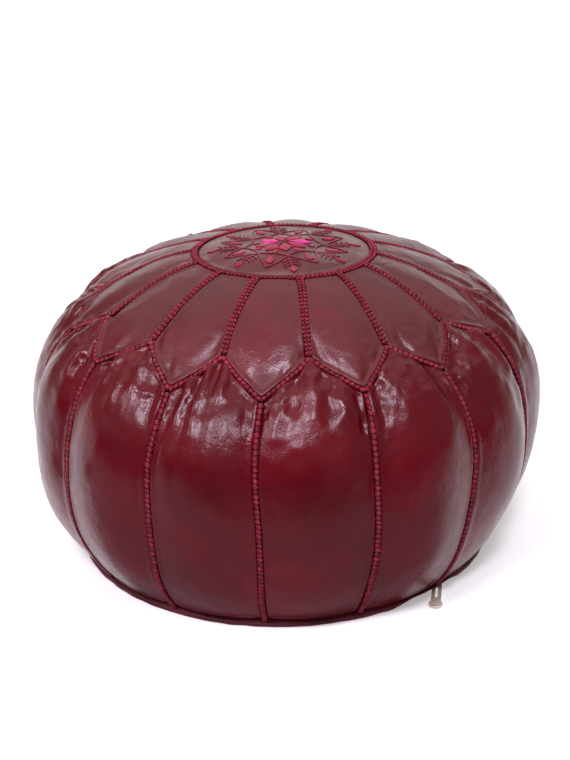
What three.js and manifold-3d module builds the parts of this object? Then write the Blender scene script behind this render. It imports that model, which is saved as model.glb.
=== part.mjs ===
// A round leather pouf: fourteen crown panels and fourteen side panels round an embroidered medallion,
// joined by raised thread braids, over a stuffed cotton bag, on a two-piece base closed by a zip.
// Millimetres, +Z up. The pouf stands on z = 0 with its axis on Z and one side seam facing -Y.
import * as THREE from "three";
import { mergeVertices } from "three/addons/utils/BufferGeometryUtils.js";
import Module from "manifold-3d";

const wasm = await Module();
wasm.setup();

// ---- driving dimensions ----
const PANELS = 14; // round the pouf, in the side and in the crown
const HEIGHT = 321;
const BELLY_RADIUS = 266; // at the fullest height of a panel's middle
const BELLY_Z = 151;
const FOOT_RADIUS = 212; // where the side would meet the floor
const FOOT_Z = 5.6; // start of the cover's profile, just above the hem once the panels are set in
const SHOULDER = 2.27; // exponent of the crown's curve: 2 is an ellipse, more is squarer
const TUCK = 2.1; // exponent of the curve under the belly
const RING_RADIUS = 93; // seam round the medallion
const PEAK_RADIUS = 189; // where a crown seam forks into the zigzag
const VALLEY_RADIUS = 223; // where the zigzag runs into a side seam
const PUFF = 7; // the most that a panel's middle stands out from its seams
const EDGE_PUFF = 3; // the same at the hem and at the medallion
const LEATHER = 2.4; // hide and its turned edges
const SEAM_GAP = 0.4; // from a panel's edge to its seam line
const TOUCH = 0.3; // between pieces that touch
const BRAID = { width: 5.6, height: 3.4, sides: 6 };
const LINER = { depth: 2.6, thickness: 1.4, floor: 13.2, mouth: 60 };
const HEM = { inner: 212.4, outer: 221, height: 7 };
const BASE = { thickness: 1.8, channelZ: 5.9, channelHalf: 43, rampHalf: 56, slitHalf: 7.4 };
const STAR = { points: 8, tip: 64, notch: 39, hole: 5, lift: 1, thickness: 0.8 };

const STEP = (2 * Math.PI) / PANELS; // azimuth from one seam to the next
const COLUMNS = 4; // facets across a panel
const SIDE_ROWS = 7;
const CROWN_ROWS = 4;
const RING_SEGMENTS = PANELS * COLUMNS;
const BODY_SEGMENTS = PANELS * 2;

// The zip's own frame: +X runs out along it to its closed end, beside the second side seam.
const ZIP_AZIMUTH = 2.1 * STEP;
const ZIP = {
  closedEnd: 211,
  openEnd: -180,
  rowInner: 0.7,
  rowWidth: 3,
  rowZ: 7,
  rowHeight: 3,
  tapeInner: 4,
  tapeOuter: 24,
  tapeZ: 8,
  tapeThickness: 0.8,
  tapeReach: 203,
  stopLength: 6,
};
const SLIDER = { x: 205, back: -8, front: 5.2, half: 6, plate: 1.3, flange: 0.9, lower: 5, upper: 10.6 };
const CROWN_BAR = { half: 1, low: 0.9, high: 2.1, reach: 5, post: 1.4 };
const PULL = {
  pivotX: 1,
  pivotZ: 3.55,
  eye: 4.5,
  eyeHole: 3.6,
  eyeOuter: 5.4,
  thickness: 1.8,
  half: 5.2,
  neckX: 10,
  bulbX: 42.8,
  bulb: 7.2,
  slotStart: 13,
  slotEnd: 30,
  slotHalf: 1.2,
  yaw: THREE.MathUtils.degToRad(-55),
  droop: THREE.MathUtils.degToRad(2.5),
};

// ---- the cover's profile: radius and height from the hem to the apex ----
class CoverProfile extends THREE.Curve {
  constructor() {
    super();
    this.arcLengthDivisions = 800;
  }
  getPoint(t) {
    const split = 0.4; // of the parameter is below the belly
    if (t < split) {
      const z = FOOT_Z + (BELLY_Z - FOOT_Z) * (t / split);
      const down = (BELLY_Z - z) / BELLY_Z;
      const lost = 1 - (FOOT_RADIUS / BELLY_RADIUS) ** 2;
      return new THREE.Vector2(BELLY_RADIUS * Math.sqrt(1 - lost * down ** TUCK), z);
    }
    const angle = ((t - split) / (1 - split)) * (Math.PI / 2);
    const out = Math.max(Math.cos(angle), 0) ** (2 / SHOULDER);
    const up = Math.sin(angle) ** (2 / SHOULDER);
    return new THREE.Vector2(BELLY_RADIUS * out, BELLY_Z + (HEIGHT - BELLY_Z) * up);
  }
}
const profile = new CoverProfile();
const profileLength = profile.getLength();

// The share of the profile's length at which the crown has this radius.
function shareAtRadius(radius) {
  let [low, high] = [0.45, 1];
  for (let i = 0; i < 40; i++) {
    const middle = (low + high) / 2;
    if (profile.getPointAt(middle).x > radius) low = middle;
    else high = middle;
  }
  return (low + high) / 2;
}
const RING_SHARE = shareAtRadius(RING_RADIUS);
const PEAK_SHARE = shareAtRadius(PEAK_RADIUS);
const VALLEY_SHARE = shareAtRadius(VALLEY_RADIUS);
const GAP_SHARE = SEAM_GAP / profileLength;

// A point of the cover moved out by offset, as [radius, height].
function profilePoint(share, offset) {
  const at = profile.getPointAt(share);
  const along = profile.getTangentAt(share);
  return [at.x + along.y * offset, at.y - along.x * offset];
}

// Azimuth 0 faces -Y, and azimuths grow towards +X.
function coverPoint(azimuth, share, offset) {
  const [r, z] = profilePoint(share, offset);
  return new THREE.Vector3(r * Math.sin(azimuth), -r * Math.cos(azimuth), z);
}
// How deep the seams lie under the panels' middles.
function seamDepth(share) {
  return EDGE_PUFF + (PUFF - EDGE_PUFF) * Math.sin(Math.PI * share) ** 2;
}
function coverNormal(azimuth, share) {
  return coverPoint(azimuth, share, 1).sub(coverPoint(azimuth, share, 0)).normalize();
}

// The zigzag seam: valleys on the side seams, peaks halfway between them.
function zigzagShare(azimuth) {
  const cell = azimuth / STEP - Math.floor(azimuth / STEP);
  return VALLEY_SHARE + (PEAK_SHARE - VALLEY_SHARE) * (1 - Math.abs(2 * cell - 1));
}

// ---- closed bodies from points ----
function bodyFrom(points, triangles) {
  const geometry = new THREE.BufferGeometry();
  const positions = points.flatMap((point) => [point.x, point.y, point.z]);
  geometry.setAttribute("position", new THREE.Float32BufferAttribute(positions, 3));
  geometry.setIndex(triangles);
  geometry.computeVertexNormals();
  return geometry;
}

// A thin sheet with two faces and a rim. place(u, v, side) gives the outer point at side 1, the inner at 0.
function sheetGeometry(columns, rows, place) {
  const points = [];
  const triangles = [];
  const across = columns + 1;
  const count = across * (rows + 1);
  for (const side of [1, 0])
    for (let j = 0; j <= rows; j++)
      for (let i = 0; i <= columns; i++) points.push(place(i / columns, j / rows, side));
  const quad = (a, b, c, d) => triangles.push(a, b, c, a, c, d);
  for (let j = 0; j < rows; j++)
    for (let i = 0; i < columns; i++) {
      const a = j * across + i;
      quad(a, a + 1, a + across + 1, a + across);
      quad(count + a, count + a + across, count + a + across + 1, count + a + 1);
    }
  for (let i = 0; i < columns; i++) {
    const top = rows * across + i;
    quad(i, count + i, count + i + 1, i + 1);
    quad(top, top + 1, count + top + 1, count + top);
  }
  for (let j = 0; j < rows; j++) {
    const left = j * across;
    const right = left + columns;
    quad(left, left + across, count + left + across, count + left);
    quad(right, count + right, count + right + across, right + across);
  }
  return bodyFrom(points, triangles);
}

// A body through a row of section loops: closed into a ring, or capped at both ends.
function loftGeometry(sections, ring) {
  const sides = sections[0].length;
  const triangles = [];
  const last = ring ? sections.length : sections.length - 1;
  for (let j = 0; j < last; j++)
    for (let i = 0; i < sides; i++) {
      const next = ((j + 1) % sections.length) * sides;
      const [a, b] = [j * sides + i, j * sides + ((i + 1) % sides)];
      const [c, d] = [next + ((i + 1) % sides), next + i];
      triangles.push(a, b, c, a, c, d);
    }
  if (!ring)
    for (let i = 1; i < sides - 1; i++) {
      const end = (sections.length - 1) * sides;
      triangles.push(0, i + 1, i, end, end + i, end + i + 1);
    }
  return bodyFrom(sections.flat(), triangles);
}

// A body of revolution about Z from [radius, height] points, listed so that the outside is on the right.
function turned(points, segments) {
  const geometry = new THREE.LatheGeometry(
    points.map(([r, z]) => new THREE.Vector2(r, z)),
    segments,
  );
  return geometry.rotateX(Math.PI / 2);
}

function solidOf(geometry) {
  const bare = new THREE.BufferGeometry().setAttribute("position", geometry.getAttribute("position"));
  if (geometry.index) bare.setIndex(geometry.index);
  const merged = mergeVertices(bare, 1e-4);
  return new wasm.Manifold(
    new wasm.Mesh({
      numProp: 3,
      vertProperties: merged.attributes.position.array,
      triVerts: new Uint32Array(merged.index.array),
    }),
  );
}
function geometryOf(solid) {
  const mesh = solid.getMesh();
  const geometry = new THREE.BufferGeometry();
  geometry.setAttribute("position", new THREE.BufferAttribute(mesh.vertProperties, 3));
  geometry.setIndex(new THREE.BufferAttribute(mesh.triVerts, 1));
  geometry.computeVertexNormals();
  return geometry;
}
function block(x0, x1, y0, y1, z0, z1) {
  const geometry = new THREE.BoxGeometry(x1 - x0, y1 - y0, z1 - z0);
  return geometry.translate((x0 + x1) / 2, (y0 + y1) / 2, (z0 + z1) / 2);
}
function joined(geometries) {
  return geometryOf(geometries.map(solidOf).reduce((a, b) => a.add(b)));
}

// ---- materials ----
const leather = (color) => new THREE.MeshStandardMaterial({ color, roughness: 0.3, metalness: 0 });
const sideLeather = leather(0x5a0a12);
const crownLeather = leather(0x641019);
const baseLeather = leather(0x4a1418);
const thread = new THREE.MeshStandardMaterial({ color: 0x8c1f38, roughness: 0.7, metalness: 0 });
const silk = new THREE.MeshStandardMaterial({ color: 0xa01850, roughness: 0.55, metalness: 0 });
const cotton = new THREE.MeshStandardMaterial({ color: 0xd8ceb8, roughness: 0.95, metalness: 0 });
const wadding = new THREE.MeshStandardMaterial({ color: 0xe8e2d4, roughness: 1, metalness: 0 });
const zipTape = new THREE.MeshStandardMaterial({ color: 0x4a0f18, roughness: 0.9, metalness: 0 });
const zipNylon = new THREE.MeshStandardMaterial({ color: 0x3a0c14, roughness: 0.45, metalness: 0 });
const zipMetal = new THREE.MeshStandardMaterial({ color: 0xb9ad97, roughness: 0.3, metalness: 1 });

const pouf = new THREE.Group();
function add(name, geometry, material, parent = pouf) {
  const mesh = new THREE.Mesh(geometry, material);
  mesh.name = name;
  parent.add(mesh);
  return mesh;
}
const numbered = (name, k) => `${name}_${String(k + 1).padStart(2, "0")}`;

// ---- leather panels ----
// A panel's outer face swells between its seams, and its edges stop short of them.
function panelGeometry(startAzimuth, rows, lowShare, highShare) {
  return sheetGeometry(COLUMNS, rows, (u, v, side) => {
    const seamAzimuth = startAzimuth + u * STEP;
    const low = lowShare(seamAzimuth) + GAP_SHARE;
    const share = low + (highShare(seamAzimuth) - GAP_SHARE - low) * v;
    const inset = (SEAM_GAP * (1 - 2 * u)) / profilePoint(share, 0)[0];
    const swell = Math.sin(Math.PI * u) * Math.sqrt(Math.sin(Math.PI * v));
    return coverPoint(seamAzimuth + inset, share, seamDepth(share) * (swell - 1) - (side ? 0 : LEATHER));
  });
}
for (let k = 0; k < PANELS; k++) {
  const side = panelGeometry(k * STEP, SIDE_ROWS, () => 0, zigzagShare);
  add(numbered("side_panel", k), side, sideLeather);
  const crown = panelGeometry((k - 0.5) * STEP, CROWN_ROWS, zigzagShare, () => RING_SHARE);
  add(numbered("crown_panel", k), crown, crownLeather);
}

// ---- medallion and its embroidery ----
function medallionOffset(share) {
  const out = (1 - share) / (1 - RING_SHARE);
  return -seamDepth(RING_SHARE) * out * out;
}
function medallionGeometry() {
  const rows = 4;
  const outer = [];
  const inner = [];
  for (let j = 0; j <= rows; j++) {
    const share = 1 - (1 - RING_SHARE - GAP_SHARE) * (j / rows);
    const [r, z] = j ? profilePoint(share, medallionOffset(share)) : [0, HEIGHT];
    outer.unshift([r, z]);
    inner.push([r, z - LEATHER]);
  }
  return turned([...inner, ...outer], RING_SEGMENTS);
}
add("medallion", medallionGeometry(), crownLeather);

// The star's outline from a tip to a notch, as a radius for each azimuth.
function starRadius(azimuth) {
  const cell = (azimuth / (2 * Math.PI)) * STAR.points;
  const fromTip = Math.abs(cell - Math.round(cell)) * 2;
  return STAR.tip + (STAR.notch - STAR.tip) * fromTip ** 0.6;
}
function medallionHeight(radius) {
  const share = shareAtRadius(radius);
  return profilePoint(share, medallionOffset(share))[1];
}
function embroideryGeometry() {
  const sections = [];
  const steps = STAR.points * 4;
  const rows = 3;
  for (let j = 0; j < steps; j++) {
    const azimuth = (j / steps) * 2 * Math.PI;
    const edge = starRadius(azimuth);
    const upper = [];
    const lower = [];
    for (let i = 0; i <= rows; i++) {
      const r = STAR.hole + (edge - STAR.hole) * (i / rows);
      const z = medallionHeight(r) + STAR.lift;
      upper.push(new THREE.Vector3(r * Math.sin(azimuth), -r * Math.cos(azimuth), z + STAR.thickness));
      lower.unshift(new THREE.Vector3(r * Math.sin(azimuth), -r * Math.cos(azimuth), z));
    }
    sections.push([...upper, ...lower]);
  }
  return loftGeometry(sections, true);
}
add("medallion_embroidery", embroideryGeometry(), silk);

// ---- seam braids ----
// A flattened tube lying on a seam: stations are [azimuth, share] along it.
function braidSections(stations, ring) {
  const lift = TOUCH + BRAID.height / 2;
  const centres = stations.map(([azimuth, share]) => coverPoint(azimuth, share, lift - seamDepth(share)));
  return centres.map((centre, j) => {
    const before = centres[ring ? (j + centres.length - 1) % centres.length : Math.max(j - 1, 0)];
    const after = centres[ring ? (j + 1) % centres.length : Math.min(j + 1, centres.length - 1)];
    const normal = coverNormal(...stations[j]);
    const across = normal.clone().cross(after.clone().sub(before)).normalize();
    return Array.from({ length: BRAID.sides }, (_, i) => {
      const angle = (i / BRAID.sides) * 2 * Math.PI;
      return centre
        .clone()
        .addScaledVector(across, (Math.cos(angle) * BRAID.width) / 2)
        .addScaledVector(normal, (Math.sin(angle) * BRAID.height) / 2);
    });
  });
}
const range = (count) => Array.from({ length: count }, (_, i) => i);

// A braid along a panel's side edge, with its stations on the panel's own rows.
const clearOfZigzag = (BRAID.width + 2 * TOUCH) / profileLength;
const clearOfHem = (HEM.height + BRAID.height / 2 - FOOT_Z) / profileLength;
function seamStations(azimuth, rows, lowShare, highShare, limit) {
  return range(rows + 1).map((j) => {
    const share = lowShare + GAP_SHARE + (highShare - lowShare - 2 * GAP_SHARE) * (j / rows);
    return [azimuth, limit(share)];
  });
}
for (let k = 0; k < PANELS; k++) {
  const below = (share) => Math.min(Math.max(share, clearOfHem), VALLEY_SHARE - clearOfZigzag);
  const stations = seamStations(k * STEP, SIDE_ROWS, 0, VALLEY_SHARE, below);
  add(numbered("side_braid", k), loftGeometry(braidSections(stations, false), false), thread);
}
const zigzagStations = range(RING_SEGMENTS).map((j) => {
  const azimuth = (j / COLUMNS) * STEP;
  return [azimuth, zigzagShare(azimuth)];
});
add("zigzag_braid", loftGeometry(braidSections(zigzagStations, true), true), thread);

// The crown seams and the ring round the medallion are one run of stitching.
function crownBraidGeometry() {
  const ring = range(RING_SEGMENTS).map((j) => [(j / COLUMNS) * STEP, RING_SHARE]);
  const parts = [loftGeometry(braidSections(ring, true), true)];
  const above = (share) => Math.max(share, PEAK_SHARE + clearOfZigzag);
  for (let k = 0; k < PANELS; k++) {
    const spoke = seamStations((k + 0.5) * STEP, CROWN_ROWS, PEAK_SHARE, RING_SHARE, above);
    parts.push(loftGeometry(braidSections(spoke, false), false));
  }
  return joined(parts);
}
add("crown_braid", crownBraidGeometry(), thread);

// ---- stuffing ----
// The liner bag's walls follow the cover inwards, and its flat floor has a round mouth.
function bodyProfile(offset, floor) {
  const rows = 9;
  const points = range(rows + 1).map((j) => {
    const share = 1 - j / rows;
    return j ? profilePoint(share, offset) : [0, HEIGHT + offset];
  });
  const [footRadius, footZ] = points[points.length - 1];
  points[points.length - 1] = [footRadius, Math.max(footZ, floor)];
  return points;
}
const linerOffset = -(PUFF + LEATHER + LINER.depth);
function linerGeometry() {
  const outside = bodyProfile(linerOffset, LINER.floor);
  const inside = bodyProfile(linerOffset - LINER.thickness, LINER.floor + LINER.thickness);
  const mouth = [
    [LINER.mouth, LINER.floor],
    [LINER.mouth, LINER.floor + LINER.thickness],
  ];
  return turned([...inside, mouth[1], mouth[0], ...outside.reverse()], BODY_SEGMENTS);
}
function fillingGeometry() {
  const floor = LINER.floor + LINER.thickness + 2 * TOUCH;
  const outside = bodyProfile(linerOffset - LINER.thickness - 2 * TOUCH, floor);
  return turned([[0, floor], ...outside.reverse()], BODY_SEGMENTS);
}
add("liner_bag", linerGeometry(), cotton);
add("wadding_core", fillingGeometry(), wadding);

// ---- base ----
const zipFrame = new THREE.Group();
zipFrame.rotation.z = ZIP_AZIMUTH - Math.PI / 2;
pouf.add(zipFrame);

// Half of the base: flat on the floor, rising beside the zip into a channel for its slider and pull.
function baseHalfGeometry(side) {
  const low = [
    [BASE.slitHalf, BASE.channelZ],
    [BASE.channelHalf, BASE.channelZ],
    [BASE.rampHalf, 0],
    [HEM.inner, 0],
  ];
  const high = low.map(([y, z]) => [y, z + BASE.thickness]).reverse();
  const outline = new THREE.Shape([...low, ...high].map(([y, z]) => new THREE.Vector2(side * y, z)));
  const strip = new THREE.ExtrudeGeometry(outline, { depth: 2 * HEM.inner, bevelEnabled: false });
  strip.rotateX(Math.PI / 2).rotateZ(Math.PI / 2).translate(-HEM.inner, 0, 0);
  const round = turned([[0, -1], [HEM.inner - TOUCH, -1], [HEM.inner - TOUCH, 20], [0, 20]], RING_SEGMENTS);
  round.rotateZ(-zipFrame.rotation.z);
  return geometryOf(solidOf(strip).intersect(solidOf(round)));
}
add("base_left", baseHalfGeometry(1), baseLeather, zipFrame);
add("base_right", baseHalfGeometry(-1), baseLeather, zipFrame);

// The hem: the base's edge turned out all round, with an arch for the zip pull to slide in under.
function hemGeometry() {
  const ring = turned(
    [[HEM.inner, 0], [HEM.outer, 0], [HEM.outer, HEM.height], [HEM.inner, HEM.height], [HEM.inner, 0]],
    RING_SEGMENTS,
  );
  const sweep = PULL.bulbX * Math.sin(-PULL.yaw) + PULL.bulb;
  const top = PULL.pivotZ + PULL.thickness / 2 + 2 * TOUCH;
  const arch = block(SLIDER.x, HEM.outer + PULL.bulb, -sweep - 2, PULL.eyeOuter + 1, -1, top);
  return geometryOf(solidOf(ring).subtract(solidOf(arch.rotateZ(zipFrame.rotation.z))));
}
add("hem_welt", hemGeometry(), baseLeather);

// ---- zip ----
for (const [name, side] of [["left", 1], ["right", -1]]) {
  const strip = (inner, outer) => (side > 0 ? [inner, outer] : [-outer, -inner]);
  const row = block(
    ZIP.openEnd,
    ZIP.closedEnd,
    ...strip(ZIP.rowInner, ZIP.rowInner + ZIP.rowWidth),
    ZIP.rowZ,
    ZIP.rowZ + ZIP.rowHeight,
  );
  add(`zip_coil_${name}`, row, zipNylon, zipFrame);
  const tape = block(
    -ZIP.tapeReach,
    ZIP.tapeReach,
    ...strip(ZIP.tapeInner, ZIP.tapeOuter),
    ZIP.tapeZ,
    ZIP.tapeZ + ZIP.tapeThickness,
  );
  add(`zip_tape_${name}`, tape, zipTape, zipFrame);
}
const stopEnd = ZIP.openEnd - TOUCH;
const stopHalf = ZIP.tapeInner - TOUCH;
add(
  "zip_bottom_stop",
  block(stopEnd - ZIP.stopLength, stopEnd, -stopHalf, stopHalf, ZIP.rowZ, ZIP.rowZ + ZIP.rowHeight),
  zipMetal,
  zipFrame,
);

// Two plates joined by a wedge between the coils, with flanges beside them and a bar below for the pull.
function sliderGeometry() {
  const { back, front, half, plate, flange, lower, upper } = SLIDER;
  const lowerTop = lower + plate;
  const flangeHeight = 1.1;
  const wedgeHalf = ZIP.rowInner - TOUCH - 0.05;
  const { half: barHalf, low, high, reach, post } = CROWN_BAR;
  const parts = [
    block(back, front, -half, half, lower, lowerTop),
    block(back, front, -half, half, upper, upper + plate),
    block(front - 6, front - 0.2, -wedgeHalf, wedgeHalf, lower + 0.1, upper + 0.1),
    block(-reach, reach, -barHalf, barHalf, low, high),
    block(-reach, -reach + post, -barHalf, barHalf, high - 0.1, lower + 0.1),
    block(reach - post, reach, -barHalf, barHalf, high - 0.1, lower + 0.1),
  ];
  for (const side of [half - flange, -half]) {
    parts.push(block(back, front, side, side + flange, lowerTop - 0.1, lowerTop + flangeHeight));
    parts.push(block(back, front, side, side + flange, upper - flangeHeight, upper + 0.1));
  }
  return joined(parts);
}
add("zip_slider", sliderGeometry(), zipMetal, zipFrame).position.x = SLIDER.x;

// A flat tab with a round eye on the slider's bar, a long slot and a rounded end.
function pullGeometry() {
  const tab = new THREE.Shape();
  const eyeCorner = Math.asin((PULL.half - 1) / PULL.eyeOuter);
  const bulbCorner = Math.asin(PULL.half / PULL.bulb);
  tab.absarc(0, 0, PULL.eyeOuter, eyeCorner, 2 * Math.PI - eyeCorner, false);
  tab.lineTo(PULL.neckX, -PULL.half);
  tab.absarc(PULL.bulbX, 0, PULL.bulb, bulbCorner - Math.PI, Math.PI - bulbCorner, false);
  tab.lineTo(PULL.neckX, PULL.half);
  tab.holes.push(new THREE.Path().absarc(0, 0, PULL.eyeHole, 0, 2 * Math.PI, true));
  const slot = new THREE.Path();
  slot.absarc(PULL.slotEnd, 0, PULL.slotHalf, -Math.PI / 2, Math.PI / 2, false);
  slot.absarc(PULL.slotStart, 0, PULL.slotHalf, Math.PI / 2, 1.5 * Math.PI, false);
  tab.holes.push(slot);
  const shape = { depth: PULL.thickness, bevelEnabled: false, curveSegments: 10 };
  const flat = new THREE.ExtrudeGeometry(tab, shape);
  flat.translate(0, 0, -PULL.thickness / 2).rotateZ(PULL.yaw).translate(PULL.eye, 0, 0);
  return flat.rotateY(PULL.droop);
}
add("zip_pull", pullGeometry(), zipMetal, zipFrame).position.set(SLIDER.x + PULL.pivotX, 0, PULL.pivotZ);

export default pouf;
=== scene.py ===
"""Looks for the leather pouf: its stuffed leather panels, thread braids, embroidery, base and zip."""
import math

import bpy
import numpy as np
from mathutils import Matrix, Vector


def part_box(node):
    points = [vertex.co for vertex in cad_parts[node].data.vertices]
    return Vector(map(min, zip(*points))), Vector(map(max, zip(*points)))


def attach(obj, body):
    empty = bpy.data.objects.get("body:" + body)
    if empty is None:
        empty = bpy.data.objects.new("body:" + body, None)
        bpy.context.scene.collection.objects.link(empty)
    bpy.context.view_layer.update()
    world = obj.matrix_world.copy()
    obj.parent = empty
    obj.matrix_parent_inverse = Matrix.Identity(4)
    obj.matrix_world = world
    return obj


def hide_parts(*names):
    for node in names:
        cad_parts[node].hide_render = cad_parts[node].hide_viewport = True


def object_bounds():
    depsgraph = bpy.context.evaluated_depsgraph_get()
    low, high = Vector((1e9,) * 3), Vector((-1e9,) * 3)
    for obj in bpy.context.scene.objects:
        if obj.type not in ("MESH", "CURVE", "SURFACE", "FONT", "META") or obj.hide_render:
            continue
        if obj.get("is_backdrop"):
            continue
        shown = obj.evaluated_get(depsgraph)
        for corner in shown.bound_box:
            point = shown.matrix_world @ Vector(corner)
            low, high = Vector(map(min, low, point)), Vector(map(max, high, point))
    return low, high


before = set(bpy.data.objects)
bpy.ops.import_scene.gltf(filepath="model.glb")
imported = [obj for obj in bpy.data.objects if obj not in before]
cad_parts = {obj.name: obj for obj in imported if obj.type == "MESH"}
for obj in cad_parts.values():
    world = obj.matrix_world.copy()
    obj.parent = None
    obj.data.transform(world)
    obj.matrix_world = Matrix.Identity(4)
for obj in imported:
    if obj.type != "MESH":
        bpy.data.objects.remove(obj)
cad_low, cad_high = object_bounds()

# ---- the design, in millimetres, as part.mjs has it ----
MM = 0.001
PANELS = 14
STEP = 2 * math.pi / PANELS
HEIGHT = 321.0
BELLY_RADIUS = 266.0
BELLY_Z = 151.0
FOOT_RADIUS = 212.0
FOOT_Z = 5.6
SHOULDER = 2.27
TUCK = 2.1
RING_RADIUS = 93.0
PEAK_RADIUS = 189.0
VALLEY_RADIUS = 223.0
PUFF = 7.0
EDGE_PUFF = 3.0
BRAID_HEIGHT = 3.4
TOUCH = 0.3
HEM_INNER, HEM_OUTER, HEM_HEIGHT = 212.4, 221.0, 7.0
LINER_DEPTH, LINER_THICKNESS, LINER_FLOOR, LINER_MOUTH = 12.0, 1.4, 13.2, 60.0
CHANNEL_Z, CHANNEL_HALF, RAMP_HALF, SLIT_HALF, BASE_THICKNESS = 5.9, 43.0, 56.0, 7.4, 1.8
ZIP_TURN = 2.1 * STEP - math.pi / 2
COIL_OPEN, COIL_CLOSED, COIL_INNER, COIL_WIDTH, COIL_Z, COIL_HEIGHT = -180.0, 211.0, 0.7, 3.0, 7.0, 3.0
TAPE_REACH, TAPE_INNER, TAPE_OUTER, TAPE_Z, TAPE_THICKNESS = 203.0, 4.0, 24.0, 8.0, 0.8
SLIDER_X = 205.0
PULL = {"x": 1.0, "z": 3.55, "eye": 4.5, "hole": 3.6, "outer": 5.4, "thick": 1.8, "half": 5.2, "neck": 10.0,
        "bulb_x": 42.8, "bulb": 7.2, "slot": (13.0, 30.0), "slot_half": 1.2, "yaw": -55.0, "droop": 2.5}

# ---- how it is sewn and how the leather sits, in millimetres ----
LEATHER = 1.6
SEAM_GAP = 0.6
SIDE_FULLNESS = 5.0
CROWN_FULLNESS = -1.0
SIM_COLUMNS = 24
SIDE_SIM_ROWS = 64
CROWN_SIM_ROWS = 34
FINE_COLUMNS = 64
SIDE_FINE_ROWS = 112
CROWN_FINE_ROWS = 60
STITCH_PITCH = 5.5
PLAIT_PITCH = 4.5
LEAN = np.array([6.0, 3.6, 0.0])
WAVER = np.array([1.7, 1.7, 1.2])
WAVER_LENGTH = 170
TILT = 0.085
RAISE = 6.5
HUMP = {"at": np.array([-15.0, 135.0]), "size": np.array([75.0, 40.0]), "height": 4.0}

# ---- where the photographer stood: degrees, metres, and millimetres for the lens ----
CAMERA = {"azimuth": 6.07, "yaw": 0.106, "distance": 2.106, "height": 1.148, "pitch": 24.858, "roll": -1.436,
          "lens": 103.69, "sensor": 36.0}


# ---- the cover's profile ----
def profile_curve(t):
    """Radius and height from the hem (t = 0) to the apex (t = 1)."""
    split = 0.4
    low_z = FOOT_Z + (BELLY_Z - FOOT_Z) * np.minimum(t / split, 1)
    down = (BELLY_Z - low_z) / BELLY_Z
    low_r = BELLY_RADIUS * np.sqrt(1 - (1 - (FOOT_RADIUS / BELLY_RADIUS) ** 2) * down**TUCK)
    angle = np.clip((t - split) / (1 - split), 0, 1) * math.pi / 2
    high_r = BELLY_RADIUS * np.cos(angle).clip(0) ** (2 / SHOULDER)
    high_z = BELLY_Z + (HEIGHT - BELLY_Z) * np.sin(angle) ** (2 / SHOULDER)
    return np.where(t < split, low_r, high_r), np.where(t < split, low_z, high_z)


def running(points, axis=0):
    """How far along its line each point is."""
    steps = np.linalg.norm(np.diff(points, axis=axis), axis=-1)
    return np.insert(np.cumsum(steps, axis), 0, 0, axis)


PROFILE_R, PROFILE_Z = profile_curve(np.linspace(0, 1, 6001))
profile_run = running(np.stack([PROFILE_R, PROFILE_Z], -1))
PROFILE_LENGTH = profile_run[-1]
PROFILE_SHARE = profile_run / PROFILE_LENGTH


def share_at_radius(radius):
    """The share of the profile's length at which the crown has this radius."""
    crown = PROFILE_Z > BELLY_Z + 1
    return np.interp(-np.asarray(radius), -PROFILE_R[crown], PROFILE_SHARE[crown])


RING_SHARE = share_at_radius(RING_RADIUS)
PEAK_SHARE = share_at_radius(PEAK_RADIUS)
VALLEY_SHARE = share_at_radius(VALLEY_RADIUS)


def profile_point(share, offset):
    """Radius and height of the cover, moved out by offset."""
    span = 2e-3
    stations = [np.clip(share + step, 0, 1) for step in (-span, 0, span)]
    below_r, r, above_r = (np.interp(station, PROFILE_SHARE, PROFILE_R) for station in stations)
    below_z, z, above_z = (np.interp(station, PROFILE_SHARE, PROFILE_Z) for station in stations)
    dr, dz = above_r - below_r, above_z - below_z
    length = np.hypot(dr, dz)
    return r + offset * dz / length, z - offset * dr / length


def around(azimuth, r, z):
    """Points from cylinder coordinates. Azimuth 0 faces -Y and grows towards +X."""
    return np.stack(np.broadcast_arrays(r * np.sin(azimuth), -r * np.cos(azimuth), z), -1)


def cover_point(azimuth, share, offset):
    return around(azimuth, *profile_point(share, offset))


def seam_depth(share):
    """How deep the seams lie under the panels' middles."""
    return EDGE_PUFF + (PUFF - EDGE_PUFF) * np.sin(math.pi * share) ** 2


def zigzag_share(azimuth):
    """The zigzag seam: valleys on the side seams, peaks halfway between them."""
    cell = azimuth / STEP - np.floor(azimuth / STEP + 1e-9)
    return VALLEY_SHARE + (PEAK_SHARE - VALLEY_SHARE) * (1 - np.abs(2 * cell - 1))


def from_zip(points):
    """Points in the zip's own frame, whose +X runs to its closed end, turned into place."""
    c, s = math.cos(ZIP_TURN), math.sin(ZIP_TURN)
    points = np.asarray(points, float)
    x, y, z = points[..., 0], points[..., 1], points[..., 2]
    return np.stack([c * x - s * y, s * x + c * y, z], -1)


def waves(points, count, length, seed):
    """Smooth unit-sized noise: a sum of plane waves about this long, in the points' own units."""
    rng = np.random.default_rng(seed)
    total = np.zeros(points.shape[:-1])
    for _ in range(count):
        direction = rng.normal(size=points.shape[-1])
        direction *= 2 * math.pi / (length * rng.uniform(0.7, 1.5) * np.linalg.norm(direction))
        total += np.sin(points @ direction + rng.uniform(0, 2 * math.pi))
    return total / math.sqrt(count / 2)


def smooth_step(x, low, high):
    t = np.clip((x - low) / (high - low), 0, 1)
    return t * t * (3 - 2 * t)


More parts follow.
